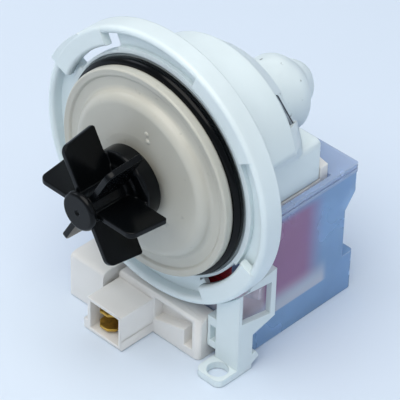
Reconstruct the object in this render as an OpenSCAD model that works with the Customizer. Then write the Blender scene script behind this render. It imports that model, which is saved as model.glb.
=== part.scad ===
// Washer drain pump: synchronous motor, bayonet mounting ring and open impeller.
// The origin is the centre of the ring's front plane, on the rotor axis.
// +Y runs back from the ring to the motor, +Z is up, and all sizes are in millimetres.

/* [Mounting ring] */
// Outside diameter of the mounting ring
ring_d = 80; // [76:1:86]
// Depth of the ring's outer wall
ring_depth = 6.3; // [5.6:0.1:6.4]
// Thickness of the ring's outer wall
ring_wall = 2.4; // [1.8:0.1:3.0]
// Depth of the channel floor behind the ring's front plane
channel_depth = 3.2; // [3.0:0.1:3.6]
// Thickness of the channel floor and of the plate inside it
web_t = 1.4; // [1.0:0.1:1.8]
// Distance from the ring's outside in to the raised seat
channel_w = 6.7; // [6:0.1:7.5]
// Number of bayonet tabs
tab_count = 4; // [3:1:4]
// Angle of the first tab's middle, from +X towards +Z
tab_first = 49; // [45:1:53]
// Angle that each tab spans
tab_span = 37.4; // [30:0.2:42]
// How far each tab reaches in from the ring's outside
tab_reach = 5.7; // [4:0.1:6]
// Thickness of a tab
tab_t = 2.4; // [1.6:0.1:2.6]
// How far the keyed tab's lug stands out of the ring
key_proud = 1.2; // [0.8:0.1:1.6]
// Where each window ends after its tab's middle, as an angle
window_to = 11; // [8:0.5:16]
// Where each window starts before its tab's middle, as an angle
window_from = 19; // [14:0.5:20]
// Further start of the second tab's window, which keys the ring
window_key = 3.5; // [0:0.5:5]

/* [Motor skirt] */
// Outside diameter of the round skirt behind the ring
skirt_d = 56; // [54:0.5:58]
// Where the skirt ends, behind the ring's front plane
skirt_end = 26; // [24:0.5:27]
// Wall of the skirt
skirt_wall = 1.8; // [1.4:0.1:2.0]
// Half of the width over the flat sides below the skirt
flank_x = 23.4; // [23.1:0.1:23.8]
// Where the shoulders behind the skirt end
shoulder_end = 39.6; // [38:0.2:40]
// Height of the shoulders' top above the axis
shoulder_top = 1.1; // [0:0.1:2]
// Rounding of the shoulders
shoulder_r = 2.2; // [1:0.1:2.6]
// Height of the motor skirt's lower edge, below the axis
skirt_drop = 11.4; // [11.2:0.1:11.6]

/* [Pump back plate] */
// Distance from the seat's edge in to the back plate's edge
plate_in = 3.5; // [3.2:0.1:3.7]
// How far the rim's front stands before the ring's front plane
rim_front = 3.5; // [3.2:0.1:3.8]
// How far the raised middle stands before the ring's front plane
crown_front = 5.6; // [4.8:0.1:5.8]
// Distance from the back plate's edge in to the raised middle's edge
crown_in = 5.7; // [5:0.1:7]
// Rounding of the raised middle's edge
crown_round = 3.2; // [2.4:0.1:3.4]
// Outside diameter of the rotor tube
tube_d = 24.8; // [24.2:0.1:25.2]
// Wall of the rotor tube
tube_wall = 1.3; // [1.0:0.1:1.5]
// Where the rotor tube's wide part ends
tube_end = 36.4; // [35.8:0.1:36.8]
// Where the rear bearing housing ends
housing_end = 44; // [43.2:0.1:45]

/* [Rear cap] */
// Diameter of the cap's neck
neck_d = 22.4; // [21.6:0.2:24]
// Where the neck's round shoulder ends
neck_end = 52.2; // [51:0.2:54]
// Diameter of the boss on the neck
boss_d = 14.8; // [13:0.2:16]
// Where the boss ends
boss_end = 57.5; // [56.5:0.1:59]
// Rounding of the neck's and the boss's ends
neck_round = 5.4; // [3:0.1:5.6]
// How far the neck stands above the rotor axis
neck_raise = 1.2; // [0:0.1:1.4]

/* [Seal ring] */
// Thickness of the rubber ring's cord
seal_cord = 3.4; // [3.0:0.1:3.6]
// Distance from the plate's edge in to the middle of the rubber ring's cord
seal_in = 0.2; // [0:0.1:0.5]

/* [Impeller] */
// Number of blades
blade_count = 6; // [4:1:8]
// Diameter over the blade tips at their back
tip_back_d = 36.8; // [34:0.2:40]
// Diameter over the blade tips at their front
tip_front_d = 33.6; // [30:0.2:36]
// How far the blades' front edges stand before the ring's front plane
blade_front = 24.2; // [22:0.2:25]
// How far the blades' back edges stand before the ring's front plane
blade_back = 12.6; // [12.4:0.1:14]
// Thickness of a blade
blade_t = 1.7; // [1.2:0.1:2.2]
// Rounding of a blade's front corner
blade_corner = 2.4; // [1:0.1:4]
// Diameter of the cap at the hub's front
cap_d = 11.2; // [10:0.2:13]
// How far the cap's face stands before the ring's front plane
cap_front = 26.8; // [26.2:0.1:28]
// Diameter of the hub between the blades
hub_d = 8.8; // [7.6:0.1:9.6]
// Diameter of the cup at the hub's back
cup_d = 21; // [20:0.2:22]
// How far the cup's front stands before the ring's front plane
cup_front = 12.2; // [11.8:0.1:12.4]
// How far the cup's open back stands before the ring's front plane
cup_back = 7.1; // [6.9:0.1:7.5]
// Free turn of the impeller on the shaft before the dog drives it
lost_motion = 180; // [120:5:220]

/* [Shaft and rotor] */
// Diameter of the shaft
shaft_d = 4; // [3:0.1:4.4]
// Radial clearance between the shaft and the bores that turn on it
running_gap = 0.04; // [0.02:0.01:0.08]
// Gap round the magnet inside the rotor tube
magnet_gap = 0.7; // [0.5:0.1:1.3]
// Room between the magnet's end and the rotor tube's end wall
magnet_room = 1.1; // [1.1:0.1:3]
// Outside diameter of a bearing bush
bush_d = 8; // [7:0.1:8.4]
// Length of a bearing bush
bush_len = 5; // [4.4:0.1:5]
// Thickness of the rubber ring round a bush
cushion_t = 1.2; // [0.9:0.1:1.4]

/* [Stator] */
// Where the stack of laminations starts
stack_front = 14; // [13.8:0.1:14.2]
// Thickness of the stack
stack_t = 16; // [15:0.1:16.2]
// Half of the width over the two pole pieces
pole_x = 22; // [21.4:0.1:22]
// Height of the pole pieces above the axis
pole_top = 16.5; // [15.5:0.1:17]
// Gap round the rotor tube inside the pole pieces
pole_gap = 0.9; // [0.6:0.1:1.2]
// Distance from the middle plane to the middle of a leg
leg_x = 13.6; // [13.4:0.1:13.8]
// Width of a leg
leg_w = 8.8; // [8:0.1:9]
// Depth of the stack's yoke below the axis, to its underside
yoke_low = 53.2; // [52.6:0.1:53.4]
// Height of the yoke
yoke_h = 7.4; // [6.8:0.1:7.6]

/* [Coils] */
// Thickness of the winding on the bobbin
winding_t = 3.9; // [3:0.1:4]
// Wall of the bobbin's tube
bobbin_wall = 1.0; // [0.8:0.1:1.1]
// Thickness of the bobbin's end plates
end_plate_t = 1.5; // [1.2:0.1:1.6]
// Height of the bobbin's upper face, below the axis
bobbin_top = 12; // [11.9:0.1:12.2]
// Height of the bobbin's underside, below the axis
bobbin_low = 44.8; // [44:0.1:45]

/* [Cover] */
// Half of the width over the coil cover
cover_x = 25.7; // [25.5:0.1:26]
// Where the cover's front wall starts
cover_front = 6.8; // [6.7:0.1:6.9]
// Where the cover's back wall ends
cover_back = 53.2; // [51:0.2:55]
// Depth of the cover's underside below the axis
cover_low = 55; // [54.8:0.1:56]
// Wall of the cover
cover_wall = 1.2; // [1.0:0.1:1.2]
// How far the waist in the back wall goes in
waist_depth = 4.6; // [2:0.2:6]

/* [Socket and bar] */
// Width over the connector socket
socket_w = 13; // [12.4:0.1:13.4]
// How far the socket reaches before the ring's front plane
socket_front = 12; // [10:0.2:14]
// Height of the socket
socket_h = 11.5; // [11:0.1:12]
// Wall of the socket
socket_wall = 1.1; // [0.9:0.1:1.4]
// Middle of the socket, left of the middle plane
socket_x = 5.5; // [5:0.1:6]
// Width of a terminal blade
blade_tab_w = 6.3; // [4.8:0.1:6.8]
// Thickness of a terminal blade
blade_tab_t = 0.8; // [0.5:0.1:1]
// Distance between the two terminal blades
blade_pitch = 5.0; // [4:0.1:5.2]
// Right end of the bar
bar_right = 18.4; // [17.6:0.1:18.4]
// Height of the bar
bar_h = 13.6; // [12.8:0.1:13.8]
// Front of the box at the bar's left end, before the ring's front plane
box_front = 5; // [3:0.2:6]

/* [Foot] */
// Right face of the foot
foot_x = 30.1; // [29.6:0.1:31]
// Diameter of the screw eye's hole
eye_d = 6; // [4.5:0.1:6.4]
// Thickness of the screw eye's tab
eye_t = 2.2; // [1.6:0.1:3]
// How far the eye's hole stands before the ring's front plane
eye_front = 0.3; // [0:0.1:0.6]
// Thickness of the foot's walls and of the latch loop
foot_wall = 1.8; // [1.4:0.1:2.0]
// Where the latch loop ends
loop_end = 16.8; // [15.6:0.1:18]

/* [Hidden] */
$fn = 96;

// Clearance between moulded pieces that seat on each other
fit = 0.3;
// Clearance of a piece that is held tight in its seat
snug = 0.05;
// How far a cut runs past the face that it opens
past = 1;

ring_r = ring_d / 2;
wall_in = ring_r - ring_wall;
seat_r = ring_r - channel_w;
web_back = channel_depth + web_t;
skirt_r = skirt_d / 2;
plate_r = seat_r - plate_in;
crown_r = plate_r - crown_in;
tube_r = tube_d / 2;
neck_r = neck_d / 2;
boss_r = boss_d / 2;
shaft_r = shaft_d / 2;
bush_r = bush_d / 2;
pocket_r = bush_r + cushion_t;
seal_r = seal_cord / 2;
seal_mid = plate_r - seal_in;
seal_out = seal_mid + seal_r;

// How far the ring's lip lies behind the tabs' faces
lip_back = 0.15;
// How far the tabs' edges lie inside the ring's outside
tab_edge = 0.1;
// Radius of the space that the foot and the bar leave for the ring
ring_clear = ring_r + 2 * fit;

// The rubber ring lies between the plate's rim and the flange's seat
rim_back = -0.7;
seal_y = rim_back + seal_r;
seat_y = rim_back + seal_cord + snug;

stack_back = stack_front + stack_t;
// Wall of the skirt's flat sides, beside the pole pieces
flank_wall = flank_x - pole_x - fit;
bore_r = tube_r + pole_gap;
// Height of the pole pieces' underside, where the legs start
pole_low = -(skirt_drop + 0.4);
yoke_top = yoke_h - yoke_low;
leg_in = leg_x - leg_w / 2;
leg_out = leg_x + leg_w / 2;

// Faces of the bobbin's tube and winding round a leg
tube_pad = snug + 0.1 + bobbin_wall;
spool_x = leg_w / 2 + tube_pad;
spool_front = stack_front - tube_pad;
spool_back = stack_back + tube_pad;
coil_x = spool_x + winding_t;
coil_front = spool_front - winding_t;
coil_back = spool_back + winding_t;
coil_low = end_plate_t - bobbin_low;
coil_top = -bobbin_top - end_plate_t;

// Wall of the rear cap round the rotor tube
cap_wall = 1.6;
// The rear cap starts behind the stack's back face
rivet_head = 0.6;
cap_y = stack_back + 0.4;
// Rim of the rear cap's flared bell
bell_r = skirt_r - 5.5;
// The slit where the stack's corner shows, as angles from +X towards +Z
slit_from = 27;
slit_to = 47;
shoulder_y = stack_back + rivet_head + fit;

// Front bearing, seal and washers, from the nose backwards
nose_front = 6.7;
nose_r = pocket_r + 1.4;
seal_pocket = 1.7;
bush_front = -(nose_front - 0.6 - seal_pocket);
bush_back = bush_front + bush_len;
rear_bush_back = housing_end - 1.6;
rear_bush_front = rear_bush_back - bush_len;
washer_t = 0.5;
cavity_r = tube_r - tube_wall;
magnet_r = cavity_r - magnet_gap;
cavity_front = 4;
magnet_mid = (stack_front + stack_back) / 2;
magnet_back = tube_end - tube_wall - magnet_room;
magnet_front = 2 * magnet_mid - magnet_back;
carrier_r = shaft_r + 2.2;

// Lug of the bobbin behind the shoulder
lug_t = 3;
lug_back = shoulder_end + fit + lug_t;

// Lugs of the clutch between the shaft's dog and the impeller's cup
lug_gap = 2;
lug_span = (360 - lost_motion) / 2 - lug_gap;
cup_wall = 1.7;
cup_in = cup_d / 2 - cup_wall;
cup_floor = -cup_front + 1.7;
dog_front = cup_floor + fit;
dog_back = -cup_back + 0.1;
dog_hub_r = shaft_r + 2.2;
dog_start = 20;

// Colours of the mouldings and metals
white_c = "#dfe9f2";
cream_c = "#cfcdc0";
black_c = "#101418";
red_c = "#a3303a";
brass_c = "#b39a55";
steel_c = "#8d9094";

// A child along the axis: its own Z runs forwards, out of the ring
module on_axis() rotate([90, 0, 0]) children();

// A round bar on the axis from one distance behind the front plane to another
module rod(r, from, to) on_axis() translate([0, 0, -to]) cylinder(r = r, h = to - from);

// A profile of radius and distance behind the front plane, spun about the axis
module spun(points, start = 0, turn = 360)
    on_axis() rotate([0, 0, start])
        rotate_extrude(angle = turn) polygon([for (p = points) [p[0], -p[1]]]);

// A flat outline in X and Z, thick from one distance behind the front plane to another
module across(from, to) on_axis() translate([0, 0, -to]) linear_extrude(to - from) children();

// A flat outline in Y and Z, thick from one X to another
module sideways(from, to)
    translate([from, 0, 0]) rotate([90, 0, 90]) linear_extrude(to - from) children();

// A flat outline in X and Y, thick from one height to another
module level(from, to) translate([0, 0, from]) linear_extrude(to - from) children();

// A box between two corners
module block(low, high) translate(low) cube(high - low);

// A rectangle between two corners with round corners
module round_rect(low, high, r) {
    translate([low[0] + r, low[1]]) square([high[0] - low[0] - 2 * r, high[1] - low[1]]);
    translate([low[0], low[1] + r]) square([high[0] - low[0], high[1] - low[1] - 2 * r]);
    for (x = [low[0] + r, high[0] - r], y = [low[1] + r, high[1] - r])
        translate([x, y]) circle(r);
}

// The same on both sides of the middle plane
module both_sides() {
    children();
    mirror([1, 0, 0]) children();
}

function arc(mid, r, from, to, steps = 6) =
    [for (i = [0:steps]) let (a = from + (to - from) * i / steps)
        [mid[0] + r * cos(a), mid[1] + r * sin(a)]];

// Area of the motor skirt seen along the axis, drawn in by a wall
module skirt_area(inset) {
    side = flank_x - inset;
    low = -skirt_drop - (inset > 0 ? past : 0);
    lean = skirt_r * 0.3;
    out = skirt_r + past - inset;
    polygon([[-side, low], [side, low], [side, 0], [out, lean], [out, out], [-out, out],
        [-out, lean], [-side, 0]]);
}

// One bayonet tab, its root in the ring's wall
module tab(turn) {
    r = tab_t * 0.45;
    on_axis() rotate([0, 0, turn - tab_span / 2]) rotate_extrude(angle = tab_span) {
        translate([ring_r - tab_reach + r, -tab_t])
            square([tab_reach - tab_edge - 2 * r, tab_t]);
        translate([ring_r - tab_reach, -tab_t])
            square([tab_reach - tab_edge, tab_t - r]);
        for (x = [ring_r - tab_reach + r, ring_r - tab_edge - r])
            translate([x, -r]) circle(r);
    }
}

// Lug at the end of the keyed tab, which stands out of the ring's outside
module key_lug(turn) {
    to = turn + tab_span / 2 - 0.4;
    from = to - 0.6 * tab_span;
    across(0.2, tab_t) polygon(concat(arc([0, 0], ring_r - ring_wall / 2, to, from),
        [for (i = [0:6]) let (a = from + (to - from) * i / 6)
            (ring_r - tab_edge + (key_proud + tab_edge) * i / 6) * [cos(a), sin(a)]]));
}

// White moulding: ring with bayonet tabs, skirt round the stator, and shoulders
module pump_flange() {
    color(white_c) {
        difference() {
            union() {
                flange_plate();
                flange_ribs();
            }
            for (i = [0:tab_count - 1])
                ring_window(tab_first + 360 / tab_count * i, window_from + (i == 1 ? window_key : 0));
        }
        for (i = [0:tab_count - 1])
            tab(tab_first + 360 / tab_count * i);
        key_lug(tab_first + 360 / tab_count);
        motor_skirt();
        both_sides() {
            shoulder();
            cheek();
        }
        brow();
    }
}

// Round plate with the raised seat and the outer wall, whose front lip is round
module flange_plate() {
    seat_step = seat_y - 0.8;
    overlap = 0.2;
    on_axis() rotate_extrude() {
        polygon([[tube_r + snug, -seat_y], [seal_out, -seat_y],
            [seal_out + 0.4, -seat_step], [seat_r, -seat_step],
            [seat_r, -channel_depth], [wall_in + overlap, -channel_depth],
            [wall_in + overlap, -web_back], [tube_r + snug, -web_back]]);
        translate([wall_in, -ring_depth])
            square([ring_wall, ring_depth - ring_wall / 2 - lip_back]);
        translate([ring_r - ring_wall / 2, -ring_wall / 2 - lip_back])
            circle(ring_wall / 2);
    }
}

// Cutter for the window under a tab
module ring_window(turn, before)
    spun([[seat_r + 0.2, channel_depth - past], [wall_in - 0.5, channel_depth - past],
        [wall_in - 0.5, ring_depth + past], [seat_r + 0.2, ring_depth + past]],
        turn - before, before + window_to);

// Stiffening ribs behind the channel floor, between the windows
module flange_ribs() {
    rib_t = 1.2;
    step = 9;
    middle = (window_to - window_from) / 2 - window_key / 2;
    for (i = [0:tab_count - 1], k = [-1:1])
        on_axis() rotate([0, 0, tab_first + 360 / tab_count * (i + 0.5) + middle + step * k])
            translate([skirt_r - 0.5, -rib_t / 2, 0.4 - ring_depth])
                cube([wall_in + 0.6 - skirt_r + 0.5, rib_t, ring_depth - web_back - 0.2]);
}

// Round skirt with flat sides below, open at the back
module motor_skirt() {
    difference() {
        intersection() {
            dome(skirt_r, web_back - 0.6, skirt_end, 1.2);
            across(0, skirt_end + past) skirt_area(0);
        }
        across(web_back - 0.2, skirt_end + past) intersection() {
            circle(skirt_r - skirt_wall);
            skirt_area(flank_wall);
        }
        rod(tube_r + 2 * snug, 0, web_back + past);
    }
}

// Side wall that runs back from the skirt, and its shoulder, hollowed behind
module shoulder() {
    inner = leg_in + 2.4;
    clear_r = tube_r + cap_wall + fit;
    low = -skirt_drop - 2 * shoulder_r;
    difference() {
        intersection() {
            across(web_back - 0.3, shoulder_end)
                round_rect([inner, low], [flank_x, shoulder_top], shoulder_r);
            level(-skirt_drop, shoulder_top + past)
                round_rect([inner - 2 * shoulder_r, 0], [flank_x, shoulder_end], 0.5);
        }
        block([0, web_back - past, low],
            [flank_x - flank_wall, stack_back + fit, shoulder_top + past]);
        block([0, stack_back, low], [pole_rivet[0] + 2.2, shoulder_y, shoulder_top + past]);
        rod(clear_r, shoulder_y - past, shoulder_end + past);
        block([clear_r + 1.6, shoulder_y + 2, low],
            [flank_x - skirt_wall, shoulder_end - skirt_wall, shoulder_top - skirt_wall]);
    }
}

// Sloping wall that closes the skirt's end beside the pole piece, up to the slit
module cheek() {
    inner = skirt_r - 5.2;
    difference() {
        intersection() {
            across(skirt_end - 2, shoulder_end) skirt_area(0);
            spun([[inner, skirt_end - 1], [skirt_r - 0.8, skirt_end - 1],
                [skirt_r - 0.8, skirt_end + 0.2], [inner + 1.8, shoulder_y],
                [inner, shoulder_y]], -2, slit_from + 2);
        }
        block([0, skirt_end - 2, -skirt_r],
            [flank_x - flank_wall, stack_back + fit, skirt_r]);
    }
}

// Sloping wall over the top, from the skirt's end in to the rear cap's rim
module brow() {
    inner = bell_r + 2 * snug;
    end = cap_y + 0.6;
    spun([[skirt_r - 2.4, skirt_end - 1], [skirt_r - 0.8, skirt_end - 1],
        [skirt_r - 0.8, skirt_end + 0.2], [inner + 1, end - 0.2], [inner + 0.8, end],
        [inner, end], [inner, end - 1.4]], slit_to, 180 - 2 * slit_to);
}

// Cream moulding: pump back plate, nose, and tube that holds the rotor
module rotor_can() {
    hollow = 1.2;
    lean = 20;
    shoulder_at = [crown_r - crown_round, -crown_front + crown_round];
    hollow_at = shoulder_at + (crown_round + hollow) * [cos(lean), -sin(lean)];
    color(cream_c) {
        difference() {
            spun(concat([[0, -nose_front], [nose_r - 0.6, -nose_front], [nose_r, -nose_front + 0.6],
                [nose_r, -crown_front + 0.8], [nose_r + 1.5, -crown_front + 0.4],
                [nose_r + 6, -crown_front]],
                arc(shoulder_at, crown_round, -90, -lean, 8),
                arc(hollow_at, hollow, 180 - lean, 90, 5),
                [[plate_r - 2.5, hollow_at[1] + hollow], [plate_r - 2.2, -rim_front + 0.45],
                [plate_r - 1.9, -rim_front + 0.2], [plate_r - 1.5, -rim_front + 0.15],
                [plate_r - 1.0, -rim_front + 0.1], [plate_r - 0.5, -rim_front],
                [plate_r - 0.2, -rim_front + 0.15], [plate_r - 0.05, -rim_front + 0.35],
                [plate_r, -rim_front + 0.6], [plate_r, rim_back - 0.6], [plate_r - 0.2, rim_back],
                [seal_mid - seal_r, rim_back], [seal_mid - seal_r, seat_y - snug],
                [tube_r, seat_y - snug], [tube_r, tube_end - 0.6], [tube_r - 0.6, tube_end],
                [pocket_r + 1.4, tube_end], [pocket_r + 1.4, housing_end - 0.8],
                [pocket_r + 0.6, housing_end], [0, housing_end]]));
            rod(shaft_r + 0.6, -nose_front - past, 0);
            rod(pocket_r, -nose_front + 0.6, cavity_front + snug);
            rod(cavity_r, cavity_front, tube_end - tube_wall);
            rod(pocket_r, tube_end - tube_wall - snug, rear_bush_back);
        }
        for (p = [[0.666, 77.4], [0.583, 74.3]])
            rotate([0, -p[1], 0]) translate([crown_r * p[0], 0, 0]) pip();
    }
}

// Small round pip on the face of the raised middle
module pip()
    spun([[0, -crown_front - 0.35], [0.4, -crown_front - 0.3], [0.7, -crown_front - 0.1],
        [0.8, -crown_front + 0.1], [0.8, -crown_front + 0.4], [0, -crown_front + 0.4]]);

// Black rubber ring behind the back plate's rim
module flange_seal() {
    color(black_c) on_axis() rotate_extrude() translate([seal_mid, -seal_y]) circle(seal_r, $fn = 48);
}

// White cap over the rear bearing housing: flared bell, round neck and boss
module rear_cap() {
    root_r = tube_r + cap_wall;
    root_end = tube_end + fit + cap_wall;
    nest_r = neck_r - neck_raise - 1.8;
    nest_end = neck_end - 4;
    color(white_c) difference() {
        union() {
            difference() {
                spun([[nest_r, cap_y], [bell_r, cap_y], [bell_r, cap_y + 0.8],
                    [root_r + 4, cap_y + 3.2], [root_r + 1.2, cap_y + 4.8], [root_r, root_end - 1],
                    [root_r - 1, root_end], [nest_r, root_end]]);
                difference() {
                    block([-skirt_r, cap_y - past, -skirt_r], [skirt_r, neck_end, shoulder_top + fit]);
                    rod(root_r, cap_y - 2 * past, neck_end + past);
                }
            }
            translate([0.3, 0, neck_raise]) {
                dome(neck_r, tube_end - 1, neck_end, neck_round);
                dome(boss_r, nest_end, boss_end, neck_round);
            }
        }
        // slit beside each corner of the stack
        both_sides() spun([[root_r, cap_y - past], [skirt_r, cap_y - past],
            [skirt_r, tube_end], [root_r, tube_end]], slit_from, slit_to - slit_from);
        // hollow over the tube, the bearing housing and inside the boss
        spun([[0, cap_y - past], [bell_r - 2.5, cap_y - past], [bell_r - 2.5, cap_y + 0.3],
            [root_r + 2, cap_y + 2.6], [tube_r + fit, cap_y + 4.2], [tube_r + fit, tube_end + fit],
            [nest_r, tube_end + fit], [nest_r, nest_end], [boss_r - neck_raise - 1.6, nest_end],
            [boss_r - neck_raise - 1.6, boss_end - 3.6], [0, boss_end - 3.6]]);
        block([-skirt_r, cap_y - past, -skirt_r], [skirt_r, neck_end - 5, -skirt_drop + 0.1]);
    }
}

// A round post whose far end is rounded over
module dome(r, from, to, round_r)
    on_axis() rotate_extrude() {
        translate([0, round_r - to]) square([r, to - round_r - from]);
        translate([0, -to]) square([r - round_r, to - from]);
        intersection() {
            translate([r - round_r, round_r - to]) circle(round_r, $fn = 64);
            translate([0, -to]) square([r, to - from]);
        }
    }

// Outline of the right pole piece and its leg
module pole_outline() {
    tip = 2.4;
    slope = pole_top - 10.5;
    difference() {
        polygon([[leg_in, yoke_top + snug], [leg_out, yoke_top + snug],
            [leg_out, pole_low], [pole_x, pole_low + 3.4], [pole_x, pole_top - slope],
            [pole_x - slope, pole_top], [tip, pole_top], [tip, 0], [leg_in - 2, 0],
            [leg_in - 2, pole_low], [leg_in, pole_low]]);
        circle(bore_r);
    }
}

// Places of the rivets through the stack, on the right side
rivet_r = 1.2;
pole_rivet = [pole_x - 3.6, 0];
yoke_rivet = [leg_out - 4, -yoke_low + yoke_h / 2];

module stator_pole() {
    color(steel_c) difference() {
        across(stack_front, stack_back) pole_outline();
        across(stack_front - past, stack_back + past)
            translate(pole_rivet) circle(rivet_r + snug, $fn = 32);
    }
}

module stator_pole_right() stator_pole();
module stator_pole_left() mirror([1, 0, 0]) stator_pole();

// Bar of laminations that closes the two legs below the coils
module stator_yoke() {
    color(steel_c) difference() {
        across(stack_front, stack_back)
            translate([-leg_out, -yoke_low]) square([2 * leg_out, yoke_h]);
        both_sides() across(stack_front - past, stack_back + past)
            translate(yoke_rivet) circle(rivet_r + snug, $fn = 32);
    }
}

module rivet(place) {
    translate([place[0], 0, place[1]]) {
        rod(rivet_r, stack_front - 0.2, stack_back + 0.2);
        for (y = [stack_front - rivet_head, stack_back])
            rod(1.8, y, y + rivet_head);
    }
}

module core_rivets() {
    color(steel_c) both_sides() {
        rivet(pole_rivet);
        rivet(yoke_rivet);
    }
}

// Spool on the right leg, with its rear lug and upstand
module bobbin() {
    rim = 0.5;
    lug_y = shoulder_end + fit;
    lug_x = flank_x - 4.4;
    upstand_y = lug_back - 2.9;
    color(cream_c) difference() {
        union() {
            block([leg_x - spool_x, spool_front, -bobbin_low], [leg_x + spool_x, spool_back, -bobbin_top]);
            block([leg_x - coil_x - rim, coil_front - rim, -bobbin_top - end_plate_t],
                [leg_x + coil_x + rim, coil_back + rim, -bobbin_top]);
            block([lug_x, coil_back, -bobbin_top - end_plate_t], [flank_x, lug_back - 0.1, -bobbin_top]);
            across(lug_y, lug_back) polygon([[lug_x, -bobbin_top - end_plate_t],
                [flank_x, -bobbin_top - end_plate_t], [flank_x, -bobbin_top + 3.7],
                [lug_x, -bobbin_top + 4.8]]);
            block([leg_x - coil_x - rim, coil_front - rim, -bobbin_low],
                [leg_x + coil_x + rim, coil_back + rim, -bobbin_low + end_plate_t]);
            block([leg_x, coil_back, -bobbin_low],
                [leg_x + coil_x + rim, upstand_y + 1.4, -bobbin_low + end_plate_t]);
            block([leg_x, upstand_y, -bobbin_low],
                [leg_x + coil_x + rim, upstand_y + 1.4, -bobbin_low + 6.2]);
        }
        block([leg_in - snug - 0.1, stack_front - snug - 0.1, -bobbin_low - past],
            [leg_out + snug + 0.1, stack_back + snug + 0.1, -bobbin_top + past]);
        rod(tube_r + 2 * snug, 0, tube_end + past);
    }
}

module bobbin_right() bobbin();
module bobbin_left() mirror([1, 0, 0]) bobbin();

// Taped winding on the right spool
module winding() {
    color(red_c) level(coil_low + 0.1, coil_top - 0.1) difference() {
        round_rect([leg_x - coil_x, coil_front], [leg_x + coil_x, coil_back], winding_t - 0.6);
        translate([leg_x - spool_x - snug, spool_front - snug])
            square([2 * (spool_x + snug), spool_back - spool_front + 2 * snug]);
    }
}

module winding_right() winding();
module winding_left() mirror([1, 0, 0]) winding();

// Thermal fuse against the right winding, between the two coils
module thermal_fuse() {
    fuse_r = 1.5;
    fuse_len = 9;
    wire_len = 21;
    x = leg_x - coil_x - fuse_r - 0.2;
    color("#c9b48a") translate([x, magnet_mid, (coil_low + coil_top) / 2]) {
        cylinder(r = fuse_r, h = fuse_len, center = true, $fn = 48);
        cylinder(r = 0.35, h = wire_len, center = true, $fn = 24);
    }
}

bar_top = bar_h - cover_low;
// The latch loop starts level with the bar's top
loop_low = bar_top;
loop_h = 16;
bar_back = cover_front - fit;
socket_left = -socket_x - socket_w / 2;
socket_right = -socket_x + socket_w / 2;
socket_top = socket_h - cover_low;
mid_blade = (socket_top - cover_low) / 2 - 0.8;
blade_in_x = [-socket_x - blade_tab_w / 2 - 1.6, -socket_x + blade_tab_w / 2 - 1.6];

// White moulding before the cover: end box, bar with its recess, and connector socket
module terminal_carrier() {
    lip = 1.4;
    box_right = socket_left - 1;
    plug_back = cover_front + cover_wall + 2;
    recess_left = socket_right + 0.6;
    recess_right = bar_right - 2.6;
    color("#d6dad8") difference() {
        union() {
            sideways(-cover_x - 0.3, box_right)
                polygon([[-box_front, -cover_low], [-box_front, bar_top - 0.2],
                    [-box_front + 0.5, bar_top + 0.6], [-box_front + 2, bar_top + 1.1],
                    [bar_back, bar_top + 1.1], [bar_back, -cover_low]]);
            sideways(box_right - past, bar_right)
                polygon([[1, -cover_low], [1, bar_top - 1.6], [bar_back, bar_top - 1.6],
                    [bar_back, -cover_low]]);
            intersection() {
                sideways(socket_left, bar_right)
                    polygon([[0, -cover_low], [0, bar_top - 0.6], [0.6, bar_top],
                        [bar_back, bar_top], [bar_back, -cover_low]]);
                level(-cover_low - past, bar_top + past)
                    round_rect([socket_left - 2, 0], [bar_right, bar_back + 4], 1.6);
            }
            block([socket_left, -socket_front, -cover_low], [socket_right, past, socket_top]);
            block([socket_left - lip, -socket_front, -cover_low],
                [socket_right + 0.3, 0.5, -cover_low + 3.2]);
            block([socket_left + 0.6, bar_back - past, -cover_low + 2],
                [socket_right - 0.6, plug_back, socket_top - 1.4]);
        }
        // mouth of the socket
        block([socket_left + socket_wall, -socket_front - past, -cover_low + socket_wall],
            [socket_right - socket_wall, -1.5, socket_top - socket_wall]);
        // slots of the two terminal blades
        for (s = [-1, 1])
            block([blade_in_x[0] - snug, -3, mid_blade + s * blade_pitch / 2 - blade_tab_t / 2 - snug],
                [blade_in_x[1] + snug, plug_back + past,
                    mid_blade + s * blade_pitch / 2 + blade_tab_t / 2 + snug]);
        // recess along the bar under its upper lip
        across(-past, 3.4) polygon([[recess_left, bar_top - 1.4], [recess_left, -cover_low + 5],
            [recess_right - 3, -cover_low + 7.8], [recess_right - 3, -cover_low + 2.6],
            [recess_right, -cover_low + 2.6], [recess_right, bar_top - 1.4]]);
        // hollow in the end box
        block([-cover_x + 1.2, 0, -cover_low - past], [box_right - 1.6, bar_back - 1.4, bar_top - 1.6]);
        // clearance round the ring above
        rod(ring_clear, -past, ring_depth + fit);
    }
}

// Brass blade with a tapered tip and a tail that turns up
module terminal(z, tail, behind = 0) {
    tip = 1.7;
    front = -socket_front + 1.4;
    back = cover_front + cover_wall + 3 + behind;
    color(brass_c) {
        level(z - blade_tab_t / 2, z + blade_tab_t / 2)
            polygon([[blade_in_x[0] + tip, front], [blade_in_x[1] - tip, front],
                [blade_in_x[1], front + tip], [blade_in_x[1], back], [blade_in_x[0], back],
                [blade_in_x[0], front + tip]]);
        block([tail - 0.8, back - blade_tab_t, z], [tail + 0.8, back, -bobbin_low - 0.2]);
    }
}

module terminal_upper() terminal(mid_blade + blade_pitch / 2, blade_in_x[0] + 1);
module terminal_lower() terminal(mid_blade - blade_pitch / 2, blade_in_x[1] - 1,
    blade_tab_t + 0.6);

// Outline of the cover seen from the side, drawn in by a wall
module cover_outline(inset) {
    waist = cover_back - waist_depth - inset;
    waist_low = 13 - cover_low;
    waist_h = 16;
    polygon([[cover_front + inset, inset - cover_low], [cover_back - inset, inset - cover_low],
        [cover_back - inset, waist_low - inset], [waist, waist_low - inset],
        [waist, waist_low + waist_h + inset * 0.5],
        [cover_back - 0.8 - inset, waist_low + waist_h + 5 + inset * 0.5],
        [cover_back - 0.8 - inset, -skirt_drop - 0.2 - inset],
        [cover_front + inset, -skirt_drop - 0.2 - inset]]);
}

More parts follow.
